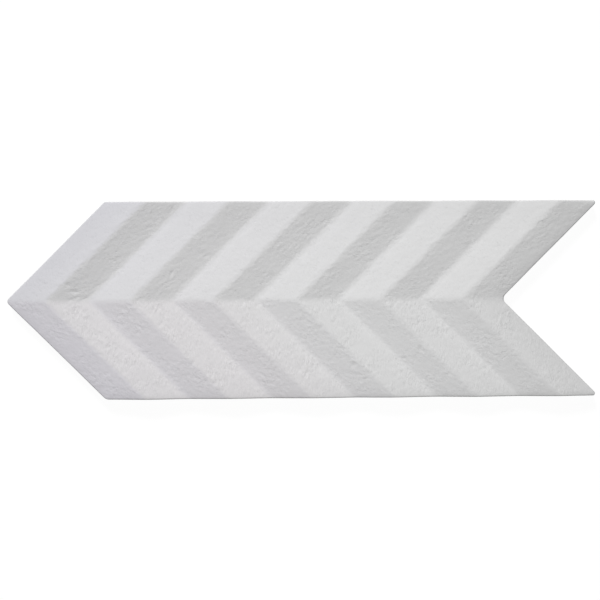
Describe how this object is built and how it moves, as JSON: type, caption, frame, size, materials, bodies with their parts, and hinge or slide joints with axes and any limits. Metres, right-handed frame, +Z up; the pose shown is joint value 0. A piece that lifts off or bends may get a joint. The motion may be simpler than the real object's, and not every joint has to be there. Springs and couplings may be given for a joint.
{
  "type": "arrow-shaped relief wall tile",
  "caption": "Arrow-shaped white ceramic wall tile with chevron pleats on its face, a notch that takes the point of the next tile, and a grooved back for adhesive.",
  "frame": {"origin": "middle of the overall box, on the bedding plane of the back", "axes": "+X from the point to the notch along the length, +Y across the tile, +Z up out of the face"},
  "size_m": [0.2972, 0.0996, 0.01],
  "materials": {
    "matt_white_glaze": "matt white glaze over a rough stone-like pressed face"
  },
  "bodies": {
    "root": {"arrow_tile": "matt_white_glaze"}
  },
  "joints": []
}
